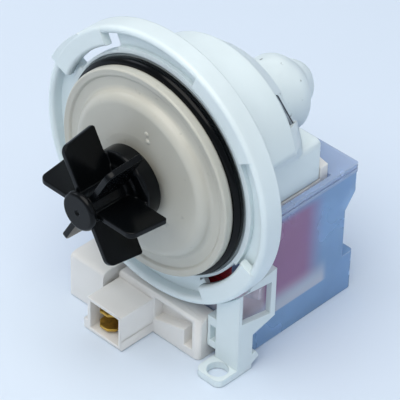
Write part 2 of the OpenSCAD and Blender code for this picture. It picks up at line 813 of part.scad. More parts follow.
// Frosted cover round the coils, open above them
module coil_cover() {
    rim_top = -skirt_drop - 0.2;
    opening_back = lug_back + fit;
    inner_x = cover_x - cover_wall;
    color("#7fa6d6", 0.6) {
        difference() {
            union() {
                intersection() {
                    sideways(-cover_x, cover_x) cover_outline(0);
                    level(-cover_low - past, rim_top + past)
                        round_rect([-cover_x, cover_front], [cover_x, cover_back], 1.2);
                }
                for (z = [rim_top - 1, rim_top - 2.8])
                    level(z, z + 1) difference() {
                        round_rect([-cover_x - 0.4, cover_front + 2],
                            [cover_x + 0.4, cover_back - 0.4], 1);
                        translate([-cover_x + 0.6, 0])
                            square([2 * cover_x - 1.2, cover_back - 1.4]);
                    }
            }
            intersection() {
                sideways(-inner_x, inner_x) cover_outline(cover_wall);
                level(-cover_low - past, rim_top + past)
                    square([4 * inner_x, 2 * cover_back], center = true);
            }
            block([-inner_x, cover_front + cover_wall, rim_top - 2 * cover_wall],
                [inner_x, opening_back, rim_top + past]);
            block([socket_left + 0.6 - fit, cover_front - past, -cover_low + 2 - fit],
                [socket_right - 0.6 + fit, cover_front + 2 * cover_wall, socket_top - 1.4 + fit]);
            // opening in the front wall, behind the ring's windows
            block([-inner_x + 1.4, cover_front - past, bar_top + 4],
                [inner_x - 1.4, cover_front + 2 * cover_wall, rim_top + past]);
        }
        // catch inside the latch loop
        level(loop_low + 7.8, loop_low + 11.5)
            polygon([[cover_x - 0.4, 9.6], [cover_x, 9.6], [foot_x - 1, 11.2],
                [foot_x - 1, 12.2], [cover_x - 0.4, 12.2]]);
    }
}

// White leg with the screw eye, and the loop that latches over the cover
module mounting_foot() {
    post_left = foot_x - 8.2;
    post_front = 2.8;
    post_back = cover_front + 1.6;
    plate_t = 1.2;
    loop_top = loop_low + loop_h;
    window_low = [loop_low + 4, loop_low + 1.7];
    window_top = [loop_top - 2.1, loop_top - 3.6];
    eye_x = foot_x - 4.2;
    eye_left = foot_x - 9;
    eye_nose = eye_front + 3.9;
    slip_x = cover_x + 0.4 + fit;
    behind = loop_end - foot_wall;
    color(white_c) difference() {
        union() {
            // lower post, clear of the cover
            block([post_left, post_front, -cover_low], [foot_x, cover_front - fit, loop_low]);
            block([slip_x, post_front, -cover_low], [foot_x, post_back, loop_low]);
            // upper wall, up to the ring
            block([post_left, post_front, loop_low - past], [foot_x, post_front + plate_t, loop_top - 2]);
            // latch loop
            sideways(foot_x - foot_wall, foot_x) difference() {
                polygon([[post_front, loop_low - 3], [post_back, loop_low - 2], [loop_end, loop_low],
                    [loop_end, loop_top + 0.2], [loop_end - 0.6, loop_top],
                    [loop_end - 1.4, loop_top], [post_front, loop_top - 1.9]]);
                polygon([[post_front + plate_t, window_low[0]], [behind, window_low[1]],
                    [behind, window_top[1]], [post_front + plate_t, window_top[0]]]);
            }
            // screw eye
            level(-cover_low, -cover_low + eye_t) difference() {
                union() {
                    round_rect([eye_left, -eye_nose], [foot_x, post_back], 2.2);
                    translate([foot_x - 2, 0]) square([2, post_back]);
                }
                translate([eye_left - past, cover_front - fit])
                    square([slip_x - eye_left + past, post_back]);
            }
            // small toe behind the post
            sideways(foot_x - 2.2, foot_x)
                polygon([[post_back - past, -cover_low + 1], [post_back, -cover_low + 1.4],
                    [post_back + 2.8, -cover_low + 2.9], [post_back + 1.6, -cover_low + 5],
                    [post_back - past, -cover_low + 4.6]]);
            // bridge towards the bar
            block([bar_right + fit, 3, -cover_low + 4.6],
                [post_left + past, cover_front - fit, bar_top + 1.4]);
        }
        // hole of the screw eye
        translate([eye_x, -eye_front, -cover_low - past])
            cylinder(d = eye_d, h = eye_t + 2 * past);
        // pocket in the bridge
        block([bar_right + fit + 0.9, 3 - past, -cover_low + 6.8], [post_left - 0.3, 5, bar_top - 1.6]);
        // clearance round the ring above
        rod(ring_clear, -past, ring_depth + fit);
    }
}

// Sintered bush that the shaft turns in
module bearing(front, back) {
    color("#b08d57") difference() {
        rod(bush_r, front, back);
        rod(shaft_r + running_gap, front - past, back + past);
    }
}

// Rubber ring that holds a bush in its pocket
module cushion(front, back) {
    color(black_c) difference() {
        rod(pocket_r, front, back);
        rod(bush_r, front - past, back + past);
    }
}

module front_bearing() bearing(bush_front, bush_back);
module front_cushion() cushion(bush_front, bush_back);
module rear_bearing() bearing(rear_bush_front, rear_bush_back);
module rear_cushion() cushion(rear_bush_front, rear_bush_back);

// Lip seal in the nose, before the front bearing
module shaft_seal() {
    color(black_c) spun([[shaft_r + running_gap, bush_front - seal_pocket + 0.2],
        [shaft_r + running_gap + 0.5, bush_front - seal_pocket],
        [pocket_r, bush_front - seal_pocket], [pocket_r, bush_front],
        [shaft_r + 1, bush_front], [shaft_r + 0.8, bush_front - 0.7],
        [shaft_r + running_gap, bush_front - 0.9]]);
}

module rotor_shaft() {
    front = -blade_front + 1.2;
    back = rear_bush_back - 0.4;
    color("#c8ccd0") spun([[0, front], [shaft_r - 0.4, front], [shaft_r, front + 0.4],
        [shaft_r, back - 0.4], [shaft_r - 0.4, back], [0, back]]);
}

// Plastic carrier between the shaft and the magnet
module magnet_carrier() {
    collar_r = magnet_r - 1.6;
    collar_t = 0.8;
    nub_r = shaft_r + 1.2;
    color("#3a3f44") difference() {
        union() {
            rod(carrier_r, magnet_front, magnet_back);
            for (y = [magnet_front - collar_t, magnet_back])
                rod(collar_r, y, y + collar_t);
            rod(nub_r, bush_back + washer_t + 0.2, magnet_front);
            rod(nub_r, magnet_back, rear_bush_front - washer_t - 0.2);
        }
        rod(shaft_r, -blade_front, housing_end);
    }
}

// Ferrite magnet of the rotor
module rotor_magnet() {
    color("#4a4a4c") spun([[carrier_r, magnet_front], [magnet_r - 0.5, magnet_front],
        [magnet_r, magnet_front + 0.5], [magnet_r, magnet_back - 0.5],
        [magnet_r - 0.5, magnet_back], [carrier_r, magnet_back]]);
}

module washer(front) {
    color("#d8d2c0") difference() {
        rod(bush_r - 0.6, front, front + washer_t);
        rod(shaft_r + running_gap, front - past, front + washer_t + past);
    }
}

module front_washer() washer(bush_back + 0.05);
module rear_washer() washer(rear_bush_front - washer_t - 0.05);

// Sector of the clutch, from one radius to another
module lug(inner, outer, front, back, start)
    spun([[inner, front], [outer, front], [outer, back], [inner, back]], start, lug_span);

// Dog on the shaft that drives the impeller after its free turn
module drive_dog() {
    color("#e3e0d4") difference() {
        union() {
            rod(dog_hub_r, dog_front, dog_back);
            lug(shaft_r + 1, cup_in - fit, dog_front, dog_back - 0.3, dog_start);
        }
        rod(shaft_r, dog_front - past, dog_back + past);
    }
}

// One blade: straight tip that widens to the back, and a round front corner
module blade() {
    front = -blade_front;
    back = -blade_back;
    tip_front = tip_front_d / 2;
    tip_back = tip_back_d / 2;
    lean = atan((tip_back - tip_front) / (back - front));
    corner = [tip_front - blade_corner * (1 - sin(lean)) / cos(lean), front + blade_corner];
    heel = cup_d / 2 - 0.4;
    on_axis() rotate([90, 0, 0]) translate([0, 0, -blade_t / 2]) linear_extrude(blade_t)
        polygon([for (p = concat([[hub_d / 2 - 0.6, front]],
            arc(corner, blade_corner, -90, -lean, 6),
            [[tip_back - 0.15, back - 0.5], [tip_back - 0.6, back], [heel, back],
                [heel, -cup_front + 0.6], [hub_d / 2 - 0.6, -cup_front + 0.6]])) [p[0], -p[1]]]);
}

// Black impeller with straight blades, cap, hub and the cup of its clutch
module impeller() {
    edge = 1;
    bead = 0.5;
    bore_end = -blade_front + 0.8;
    color(black_c) difference() {
        union() {
            spun([[0, -cap_front], [cap_d / 2 - edge, -cap_front],
                [cap_d / 2 - 0.3, -cap_front + 0.3], [cap_d / 2, -cap_front + edge],
                [cap_d / 2, -cap_front + 1.6], [hub_d / 2, -cap_front + 2.2],
                [hub_d / 2, -cup_front - bead - 0.6], [hub_d / 2 + 1.2, -cup_front - bead],
                [hub_d / 2 + 2.2, -cup_front - bead], [hub_d / 2 + 2.7, -cup_front],
                [cup_d / 2 - 1.2, -cup_front], [cup_d / 2 - 0.35, -cup_front + 0.35],
                [cup_d / 2, -cup_front + 1.2], [cup_d / 2, -cup_back], [0, -cup_back]]);
            for (i = [0:blade_count - 1])
                rotate([0, -360 / blade_count * i, 0]) blade();
        }
        rod(cup_in, cup_floor, -cup_back + past);
        rod(shaft_r + running_gap, bore_end, 0);
        rod(0.7, -cap_front - past, -cap_front + 0.5);
    }
    color(black_c) lug(dog_hub_r + fit, cup_in + 0.2, cup_floor - 0.2, -cup_back - 0.4,
        dog_start + lug_span + lug_gap);
}

pump_flange();
rotor_can();
flange_seal();
rear_cap();
stator_pole_left();
stator_pole_right();
stator_yoke();
core_rivets();
bobbin_left();
bobbin_right();
winding_left();
winding_right();
thermal_fuse();
terminal_carrier();
terminal_upper();
terminal_lower();
coil_cover();
mounting_foot();
front_bearing();
rear_bearing();
front_cushion();
rear_cushion();
shaft_seal();
rotor_shaft();
magnet_carrier();
rotor_magnet();
drive_dog();
front_washer();
rear_washer();
impeller();
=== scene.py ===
"""Washer drain pump: plastic, metal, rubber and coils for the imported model, and a plain stage."""
import math

import bmesh
import bpy
from mathutils import Matrix, Vector, noise


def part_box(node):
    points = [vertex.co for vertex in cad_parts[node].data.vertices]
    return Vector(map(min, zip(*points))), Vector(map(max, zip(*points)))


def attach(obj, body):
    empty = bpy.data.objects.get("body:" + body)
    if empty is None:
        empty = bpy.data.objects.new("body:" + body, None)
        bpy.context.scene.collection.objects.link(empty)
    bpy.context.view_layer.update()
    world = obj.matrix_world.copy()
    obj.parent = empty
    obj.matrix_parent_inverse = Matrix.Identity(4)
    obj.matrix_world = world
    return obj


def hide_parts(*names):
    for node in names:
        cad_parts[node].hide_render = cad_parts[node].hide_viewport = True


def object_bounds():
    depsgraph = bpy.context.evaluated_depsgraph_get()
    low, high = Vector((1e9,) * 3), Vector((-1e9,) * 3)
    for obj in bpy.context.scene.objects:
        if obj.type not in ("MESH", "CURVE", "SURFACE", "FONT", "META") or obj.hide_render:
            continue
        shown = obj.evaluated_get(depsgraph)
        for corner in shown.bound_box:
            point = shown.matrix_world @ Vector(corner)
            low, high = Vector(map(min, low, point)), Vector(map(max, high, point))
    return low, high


bl_info = {
    "name": "Washer Drain Pump",
    "version": (1, 0, 0),
    "blender": (4, 5, 0),
    "location": "3D View > Sidebar > Drain Pump",
    "description": "Mouldings, metals, rubber and coils of a washer drain pump on its packed model",
    "category": "Object",
}

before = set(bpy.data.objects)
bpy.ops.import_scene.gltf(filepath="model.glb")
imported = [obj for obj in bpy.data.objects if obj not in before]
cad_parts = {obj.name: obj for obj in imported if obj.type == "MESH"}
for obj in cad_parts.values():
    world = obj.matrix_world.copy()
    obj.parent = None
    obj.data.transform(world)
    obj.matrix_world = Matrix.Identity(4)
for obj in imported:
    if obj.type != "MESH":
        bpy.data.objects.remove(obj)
cad_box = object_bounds()

MM = 0.001
# Corners that lie closer than this count as one corner.
CLOSE = 0.001 * MM
# The colour sockets of a Mix node share their names with its other sockets, so they go by number.
MIX_A, MIX_B, MIX_OUT = 6, 7, 2


def colour(code):
    """An sRGB hex value as linear red, green and blue."""
    channels = [int(code[i:i + 2], 16) / 255 for i in (1, 3, 5)]
    return tuple(c / 12.92 if c <= 0.04045 else ((c + 0.055) / 1.055) ** 2.4 for c in channels)


class PumpSizes(bpy.types.PropertyGroup):
    """Sizes of the finishing details"""

    # Real sheets are about 0.5 mm thick. They are drawn twice as thick, so that they show.
    sheet_t: bpy.props.FloatProperty(
        name="Lamination", description="Thickness of one sheet of the stator's stack, as drawn",
        default=1.1 * MM, min=0.3 * MM, max=1.5 * MM, unit="LENGTH", precision=5)
    wire_d: bpy.props.FloatProperty(
        name="Wire", description="Distance between two turns of a coil",
        default=0.6 * MM, min=0.4 * MM, max=1.2 * MM, unit="LENGTH", precision=5)


class PumpColours(bpy.types.PropertyGroup):
    """Colours of the mouldings, metals and rubber"""

    white: bpy.props.FloatVectorProperty(
        name="White polyester", description="Mounting ring, screw foot and rear cap",
        default=colour("#dde8ea"), subtype="COLOR", min=0, max=1)
    cream: bpy.props.FloatVectorProperty(
        name="Cream polypropylene", description="Back plate and dog",
        default=colour("#c0beb3"), subtype="COLOR", min=0, max=1)
    socket: bpy.props.FloatVectorProperty(
        name="Socket polyester", description="Connector piece and bobbins",
        default=colour("#e8e6e2"), subtype="COLOR", min=0, max=1)
    # Painted light: the cover's blue stands for a blue backdrop seen through the frosted wall, set as its
    # colour.
    cover: bpy.props.FloatVectorProperty(
        name="Frosted cover", description="Blue of the frosted coil cover, painted backdrop light",
        default=colour("#a2c8f0"), subtype="COLOR", min=0, max=1)
    # Painted light: the red of the coils showing through the frosted wall, painted into the cover's colour.
    painted_coil_light: bpy.props.FloatVectorProperty(
        name="Cover with painted coil light", description="Frosted cover where a coil lies behind it",
        default=colour("#bd7aa6"), subtype="COLOR", min=0, max=1)
    black: bpy.props.FloatVectorProperty(
        name="Black polypropylene", description="Impeller and magnet carrier",
        default=colour("#07090b"), subtype="COLOR", min=0, max=1)
    rubber: bpy.props.FloatVectorProperty(
        name="Rubber", description="Seal ring, shaft seal and bearing rings",
        default=colour("#030405"), subtype="COLOR", min=0, max=1)
    wire: bpy.props.FloatVectorProperty(
        name="Coil red", description="Enamelled wire of the coils",
        default=colour("#d02c3a"), subtype="COLOR", min=0, max=1)
    brass: bpy.props.FloatVectorProperty(
        name="Brass", description="Blades in the socket",
        default=colour("#d3ad55"), subtype="COLOR", min=0, max=1)
    floor: bpy.props.FloatVectorProperty(
        name="Floor", description="Floor and backdrop",
        default=colour("#d8e3f0"), subtype="COLOR", min=0, max=1)


def add(tree, kind, inputs=None, **settings):
    """Adds one node, sets its properties, and fills or links its inputs by name or number."""
    node = tree.nodes.new(kind)
    for name, value in settings.items():
        setattr(node, name, value)
    for name, value in (inputs or {}).items():
        if isinstance(value, bpy.types.NodeSocket):
            tree.links.new(value, node.inputs[name])
        else:
            node.inputs[name].default_value = value
    return node


def shaded(rgb, factor):
    """A linear colour made darker or lighter, with full alpha."""
    return tuple(min(1.0, c * factor) for c in rgb) + (1.0,)


def start(name):
    """An empty material of that name: the material, its tree and Object coordinates."""
    material = bpy.data.materials.new(name)
    material.use_nodes = True
    tree = material.node_tree
    tree.nodes.clear()
    return material, tree, add(tree, "ShaderNodeTexCoord").outputs["Object"]


def finish(tree, inputs):
    """Closes a material with its shader and output."""
    shader = add(tree, "ShaderNodeBsdfPrincipled", inputs)
    add(tree, "ShaderNodeOutputMaterial", {"Surface": shader.outputs["BSDF"]})


def moulded(name, rgb, rough, cloud, grain, depth, soft, soft_rgb=(1, 1, 1), edge=0.3, shine=0.5,
            soil=0.0):
    """Injection-moulded plastic: soft clouds from the melt's flow, and the mould's fine matt grain.

    Cloud is the share by which the colour changes, grain the grain's size, depth its height and edge
    the rounding of the edges, all three in millimetres. The grain is drawn coarser than a real mould's,
    so that it shows. Soft is the share of light that enters the skin, shine the strength of the gloss,
    and soil how strongly a used part's few grey specks show. A plastic made before is used again.
    """
    made = bpy.data.materials.get(name)
    if made:
        return made
    flow_size, polish_size, speck_size, reach = 17 * MM, 6 * MM, 2.6 * MM, 1.5 * MM
    material, tree, place = start(name)
    flow = add(tree, "ShaderNodeTexNoise", {
        "Vector": place, "Scale": 1 / flow_size, "Detail": 3.0, "Roughness": 0.45})
    tone = add(tree, "ShaderNodeValToRGB", {"Fac": flow.outputs["Fac"]})
    tone.color_ramp.interpolation = "EASE"
    tone.color_ramp.elements[0].position = 0.3
    tone.color_ramp.elements[0].color = shaded(rgb, 1 - cloud)
    tone.color_ramp.elements[1].position = 0.7
    tone.color_ramp.elements[1].color = shaded(rgb, 1 + cloud * 0.6)
    skin = tone.outputs["Color"]
    if soil:
        specks = add(tree, "ShaderNodeTexNoise", {
            "Vector": place, "Scale": 1 / speck_size, "Detail": 2.0})
        dirt = add(tree, "ShaderNodeMapRange", {
            "Value": specks.outputs["Fac"], "From Min": 0.66, "From Max": 0.76, "To Max": soil},
            interpolation_type="SMOOTHSTEP")
        mixed = add(tree, "ShaderNodeMix", {
            "Factor": dirt.outputs["Result"], MIX_A: skin, MIX_B: colour("#5c5f60") + (1,)},
            data_type="RGBA")
        skin = mixed.outputs[MIX_OUT]
    polish = add(tree, "ShaderNodeTexNoise", {
        "Vector": place, "Scale": 1 / polish_size, "Detail": 4.0})
    gloss = add(tree, "ShaderNodeMapRange", {
        "Value": polish.outputs["Fac"], "From Min": 0.3, "From Max": 0.7,
        "To Min": rough - 0.02, "To Max": rough + 0.03}, interpolation_type="SMOOTHSTEP")
    fine = add(tree, "ShaderNodeTexNoise", {
        "Vector": place, "Scale": 1 / (grain * MM), "Detail": 2.0})
    round_edge = add(tree, "ShaderNodeBevel", {"Radius": edge * MM}, samples=4)
    bump = add(tree, "ShaderNodeBump", {
        "Height": fine.outputs["Fac"], "Strength": 0.5, "Distance": depth * MM,
        "Normal": round_edge.outputs["Normal"]})
    finish(tree, {
        "Base Color": skin, "Roughness": gloss.outputs["Result"], "Normal": bump.outputs["Normal"],
        "IOR": 1.5, "Specular IOR Level": shine, "Subsurface Weight": soft,
        "Subsurface Radius": soft_rgb, "Subsurface Scale": reach})
    return material


def white_plastic(name="White polyester moulding", soil=0.0):
    """Glass-filled polyester, white with a cold cast: satin, slightly translucent at edges."""
    return moulded(name, bpy.context.scene.pump_colours.white, rough=0.36, cloud=0.035, grain=1.1,
                   depth=0.012, soft=0.16, soil=soil)


def soiled_plastic():
    """The white polyester of the cap, which has gathered specks of soil in use."""
    return white_plastic("Soiled white polyester moulding", soil=0.75)


def cream_plastic():
    """Polypropylene, cream: soft sheen, clearly translucent, and with a few faint specks."""
    return moulded("Cream polypropylene moulding", bpy.context.scene.pump_colours.cream, rough=0.3,
                   cloud=0.035, grain=1.3, depth=0.01, soft=0.2, soft_rgb=(1, 0.92, 0.8), soil=0.2)


def socket_plastic():
    """Polyester for the connector piece and bobbins: warmer white, a little glossier."""
    return moulded("Warm white polyester moulding", bpy.context.scene.pump_colours.socket, rough=0.31,
                   cloud=0.03, grain=1.1, depth=0.008, soft=0.14)


def black_plastic():
    """Glass-filled polypropylene, black: smooth skin with a weak gloss."""
    return moulded("Black glass-filled polypropylene", bpy.context.scene.pump_colours.black, rough=0.2,
                   cloud=0.3, grain=0.8, depth=0.015, soft=0.0, edge=0.2, shine=0.16)


def metal(name, rgb, rough, streak=0.35, axis=(1, 1, 1), spots=0.1):
    """Rolled or turned metal: fine streaks along one axis and a slight tarnish in spots.

    Streak is the width of a streak in millimetres, drawn coarser than real ones so that it shows.
    Spots is the share by which the tarnish changes the colour.
    """
    tarnish_size, streak_depth, edge = 2.5 * MM, 0.01 * MM, 0.12 * MM
    material, tree, place = start(name)
    turned = add(tree, "ShaderNodeMapping", {"Vector": place, "Scale": axis})
    lines = add(tree, "ShaderNodeTexNoise", {
        "Vector": turned.outputs["Vector"], "Scale": 1 / (streak * MM), "Detail": 2.0})
    tarnish = add(tree, "ShaderNodeTexNoise", {
        "Vector": place, "Scale": 1 / tarnish_size, "Detail": 4.0, "Roughness": 0.6})
    tone = add(tree, "ShaderNodeValToRGB", {"Fac": tarnish.outputs["Fac"]})
    tone.color_ramp.elements[0].position = 0.35
    tone.color_ramp.elements[0].color = shaded(rgb, 1 - 2.5 * spots)
    tone.color_ramp.elements[1].position = 0.62
    tone.color_ramp.elements[1].color = shaded(rgb, 1 + spots)
    gloss = add(tree, "ShaderNodeMapRange", {
        "Value": lines.outputs["Fac"], "To Min": rough - 0.08, "To Max": rough + 0.12})
    round_edge = add(tree, "ShaderNodeBevel", {"Radius": edge}, samples=4)
    bump = add(tree, "ShaderNodeBump", {
        "Height": lines.outputs["Fac"], "Strength": 0.35, "Distance": streak_depth,
        "Normal": round_edge.outputs["Normal"]})
    finish(tree, {
        "Base Color": tone.outputs["Color"], "Metallic": 1.0, "Roughness": gloss.outputs["Result"],
        "Normal": bump.outputs["Normal"]})
    return material


def laminated_steel(sheet_t):
    """Silicon steel sheets in a stack: dark joints between the sheets, and slightly rusty cut edges."""
    rust_size, joint_depth = 3 * MM, 0.05 * MM
    # At a scale of 1 the bands of a wave texture repeat every pi / 10.
    sheet_scale = math.pi / 10 / sheet_t
    material, tree, place = start("Laminated silicon steel")
    sheets = add(tree, "ShaderNodeTexWave", {"Vector": place, "Scale": sheet_scale},
                 wave_type="BANDS", bands_direction="Y")
    joint = add(tree, "ShaderNodeMapRange", {"Value": sheets.outputs["Fac"], "From Max": 0.35})
    rust = add(tree, "ShaderNodeTexNoise", {
        "Vector": place, "Scale": 1 / rust_size, "Detail": 5.0, "Roughness": 0.65})
    tone = add(tree, "ShaderNodeValToRGB", {"Fac": rust.outputs["Fac"]})
    tone.color_ramp.elements[0].position = 0.3
    tone.color_ramp.elements[0].color = colour("#7f858a") + (1,)
    tone.color_ramp.elements[1].position = 0.6
    tone.color_ramp.elements[1].color = colour("#c3cbd2") + (1,)
    mixed = add(tree, "ShaderNodeMix", {
        "Factor": joint.outputs["Result"], MIX_A: colour("#25272a") + (1,),
        MIX_B: tone.outputs["Color"]}, data_type="RGBA")
    bump = add(tree, "ShaderNodeBump", {
        "Height": joint.outputs["Result"], "Strength": 0.6, "Distance": joint_depth})
    finish(tree, {
        "Base Color": mixed.outputs[MIX_OUT], "Metallic": 0.85, "Roughness": 0.42,
        "Normal": bump.outputs["Normal"]})
    return material


def frosted_cover(rgb, painted_coil_rgb):
    """Frosted polycarbonate: lets light through. Its blue is painted light of a blue backdrop seen through
    the wall, and the red of the coils behind its sides is painted on.

    The red over the coils is painted light: the coil's colour, painted where the coil lies behind the
    wall and blurred over a few millimetres. A near-white band below it is painted where the bobbin's
    flange touches the wall. The wall inside the foot's loop is painted lighter where the loop's shade
    falls, and a painted highlight runs just under the top edge.
    """
    # Real frost is finer. It is drawn as coarse as it needs to show.
    frost_size, haze_size, frost_depth, edge = 0.9 * MM, 12 * MM, 0.015 * MM, 0.7 * MM
    material, tree, place = start("Frosted polycarbonate")
    frost = add(tree, "ShaderNodeTexNoise", {"Vector": place, "Scale": 1 / frost_size, "Detail": 3.0})
    haze = add(tree, "ShaderNodeTexNoise", {"Vector": place, "Scale": 1 / haze_size, "Detail": 2.0})
    gloss = add(tree, "ShaderNodeMapRange", {
        "Value": haze.outputs["Fac"], "From Min": 0.3, "From Max": 0.7, "To Min": 0.2, "To Max": 0.28},
        interpolation_type="SMOOTHSTEP")
    tone = add(tree, "ShaderNodeValToRGB", {"Fac": haze.outputs["Fac"]})
    tone.color_ramp.interpolation = "EASE"
    tone.color_ramp.elements[0].position = 0.3
    tone.color_ramp.elements[0].color = shaded(rgb, 0.94)
    tone.color_ramp.elements[1].position = 0.7
    tone.color_ramp.elements[1].color = shaded(rgb, 1.04)

    # Each tint has its colour, its share, and along the axes the places where it starts and is full.
    coil_low, coil_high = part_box("winding_right")
    bobbin_low, bobbin_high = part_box("bobbin_right")
    flange = bobbin_low[2] - 1.2 * MM
    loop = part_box("mounting_foot")[1]
    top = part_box("coil_cover")[1][2]
    # Painted light: the coil's red, painted on the wall where the coil lies behind it and blurred at its
    # edges.
    coil = (painted_coil_rgb, 0.8, (
        ("Y", coil_low[1] - 4 * MM, coil_low[1] + 3 * MM),
        ("Y", coil_high[1] + 6 * MM, coil_high[1] - 3 * MM),
        ("Z", coil_low[2] - 1 * MM, coil_low[2] + 4 * MM),
        ("Z", coil_high[2], coil_high[2] - 4 * MM)))
    # Painted light: a near-white band where the bobbin's flange touches the wall, standing in for the
    # flange seen through the frosted wall.
    painted_flange_band = (colour("#f6f5fa"), 0.85, (
        ("Y", coil_low[1] - 3 * MM, coil_low[1] + 4 * MM),
        ("Y", bobbin_high[1] - 0.2 * MM, bobbin_high[1] - 3 * MM),
        ("Z", flange - 0.4 * MM, flange + 0.3 * MM), ("Z", flange + 9 * MM, flange + 0.3 * MM)))
    # Painted light: the wall inside the foot's loop is painted near white, to lighten the shade that the
    # loop casts there.
    painted_catch_light = (colour("#f4eaf2"), 0.94, (
        ("X", 0.0, loop[0] - 5 * MM), ("Y", loop[1] + 1.4 * MM, loop[1] - 0.8 * MM),
        ("Z", loop[2] - 18 * MM, loop[2] - 15 * MM), ("Z", loop[2] + 1 * MM, loop[2] - 1 * MM)))
    # Painted highlight: a light band just under the top edge of the cover.
    painted_rim_highlight = (colour("#e4e4f4"), 0.45, (("Z", top - 3.2 * MM, top - 2.2 * MM),))
    axes = add(tree, "ShaderNodeSeparateXYZ", {"Vector": place})
    tints = []
    for tint, amount, limits in (coil, painted_flange_band, painted_catch_light, painted_rim_highlight):
        for axis, none, full in limits:
            side = add(tree, "ShaderNodeMapRange", {
                "Value": axes.outputs[axis], "From Min": none, "From Max": full},
                interpolation_type="SMOOTHSTEP")
            amount = add(tree, "ShaderNodeMath", {0: amount, 1: side.outputs["Result"]},
                         operation="MULTIPLY").outputs["Value"]
        tints.append((tint, amount))

    # Painted highlight: the edges are painted lighter than the faces, standing in for light that travels in
    # the wall and comes out at its edges.
    rounded = add(tree, "ShaderNodeBevel", {"Radius": edge}, samples=6)
    flat = add(tree, "ShaderNodeNewGeometry")
    bend = add(tree, "ShaderNodeVectorMath", {
        0: rounded.outputs["Normal"], 1: flat.outputs["True Normal"]}, operation="DOT_PRODUCT")
    painted_edge_highlight = add(tree, "ShaderNodeMapRange", {
        "Value": bend.outputs["Value"], "From Min": 0.99, "From Max": 0.8, "To Max": 0.6})
    tints.append((colour("#dbe6f4"), painted_edge_highlight.outputs["Result"]))

    skin = tone.outputs["Color"]
    for tint, amount in tints:
        mixed = add(tree, "ShaderNodeMix", {"Factor": amount, MIX_A: skin, MIX_B: tuple(tint) + (1,)},
                    data_type="RGBA")
        skin = mixed.outputs[MIX_OUT]
    bump = add(tree, "ShaderNodeBump", {
        "Height": frost.outputs["Fac"], "Strength": 0.12, "Distance": frost_depth})
    finish(tree, {
        "Base Color": skin, "Roughness": gloss.outputs["Result"], "IOR": 1.3,
        "Transmission Weight": 0.42, "Alpha": 0.88, "Normal": bump.outputs["Normal"]})
    return material


def rubber(rgb):
    """Moulded EPDM rubber: deep black with a smooth skin, and a dusty bloom in patches."""
    # The real skin is finer. It is drawn as coarse as it needs to show.
    bloom_size, grain_size, grain_depth = 5 * MM, 0.8 * MM, 0.03 * MM
    material, tree, place = start("Moulded EPDM rubber")
    bloom = add(tree, "ShaderNodeTexNoise", {
        "Vector": place, "Scale": 1 / bloom_size, "Detail": 5.0, "Roughness": 0.6})
    tone = add(tree, "ShaderNodeValToRGB", {"Fac": bloom.outputs["Fac"]})
    tone.color_ramp.elements[0].position = 0.4
    tone.color_ramp.elements[0].color = shaded(rgb, 0.9)
    tone.color_ramp.elements[1].position = 0.75
    tone.color_ramp.elements[1].color = shaded(rgb, 1.8)
    skin = add(tree, "ShaderNodeTexNoise", {"Vector": place, "Scale": 1 / grain_size, "Detail": 3.0})
    bump = add(tree, "ShaderNodeBump", {
        "Height": skin.outputs["Fac"], "Strength": 0.5, "Distance": grain_depth})
    finish(tree, {
        "Base Color": tone.outputs["Color"], "Roughness": 0.17, "IOR": 1.45,
        "Specular IOR Level": 0.16, "Normal": bump.outputs["Normal"]})
    return material


def enamelled_wire(rgb):
    """Enamelled copper wire: glossy red lacquer, some turns a little lighter or darker than others."""
    # About two turns high, so that the bands show in a small picture
    band_h = 1.1 * MM
    # The pattern is drawn out round the coil, so that its bands follow the turns.
    along_turns = (0.12, 0.12, 1.0)
    material, tree, place = start("Enamelled copper wire")
    turn = add(tree, "ShaderNodeMapping", {"Vector": place, "Scale": along_turns})
    shade = add(tree, "ShaderNodeTexNoise", {
        "Vector": turn.outputs["Vector"], "Scale": 1 / band_h, "Detail": 3.0})
    tone = add(tree, "ShaderNodeValToRGB", {"Fac": shade.outputs["Fac"]})
    tone.color_ramp.elements[0].position = 0.3
    tone.color_ramp.elements[0].color = shaded(rgb, 0.55)
    tone.color_ramp.elements[1].position = 0.72
    tone.color_ramp.elements[1].color = shaded(rgb, 1.35)
    finish(tree, {
        "Base Color": tone.outputs["Color"], "Roughness": 0.36, "IOR": 1.5,
        "Coat Weight": 0.3, "Coat Roughness": 0.2})
    return material


def sintered_bronze():
    """Sintered bronze: dull brown metal with open pores that hold oil."""
    # Real pores are finer. They are drawn as coarse as they need to show.
    pore_size, pore_depth = 0.35 * MM, 0.05 * MM
    material, tree, place = start("Sintered bronze")
    pores = add(tree, "ShaderNodeTexVoronoi", {"Vector": place, "Scale": 1 / pore_size})
    tone = add(tree, "ShaderNodeValToRGB", {"Fac": pores.outputs["Distance"]})
    tone.color_ramp.elements[0].position = 0.1
    tone.color_ramp.elements[0].color = colour("#5c4326") + (1,)
    tone.color_ramp.elements[1].position = 0.45
    tone.color_ramp.elements[1].color = colour("#a5834f") + (1,)
    bump = add(tree, "ShaderNodeBump", {
        "Height": pores.outputs["Distance"], "Strength": 0.5, "Distance": pore_depth})
    finish(tree, {
        "Base Color": tone.outputs["Color"], "Metallic": 0.9, "Roughness": 0.5,
        "Normal": bump.outputs["Normal"]})
    return material


def ferrite():
    """Ground ferrite: dark grey ceramic with fine chips."""
    # Real chips are finer. They are drawn as coarse as they need to show.
    chip_size = 0.7 * MM
    material, tree, place = start("Ground ferrite")
    chips = add(tree, "ShaderNodeTexNoise", {"Vector": place, "Scale": 1 / chip_size, "Detail": 5.0})
    tone = add(tree, "ShaderNodeValToRGB", {"Fac": chips.outputs["Fac"]})
    tone.color_ramp.elements[0].position = 0.35
    tone.color_ramp.elements[0].color = colour("#232326") + (1,)
    tone.color_ramp.elements[1].position = 0.65
    tone.color_ramp.elements[1].color = colour("#4b4b4f") + (1,)
    finish(tree, {"Base Color": tone.outputs["Color"], "Roughness": 0.55, "IOR": 2.0})
    return material


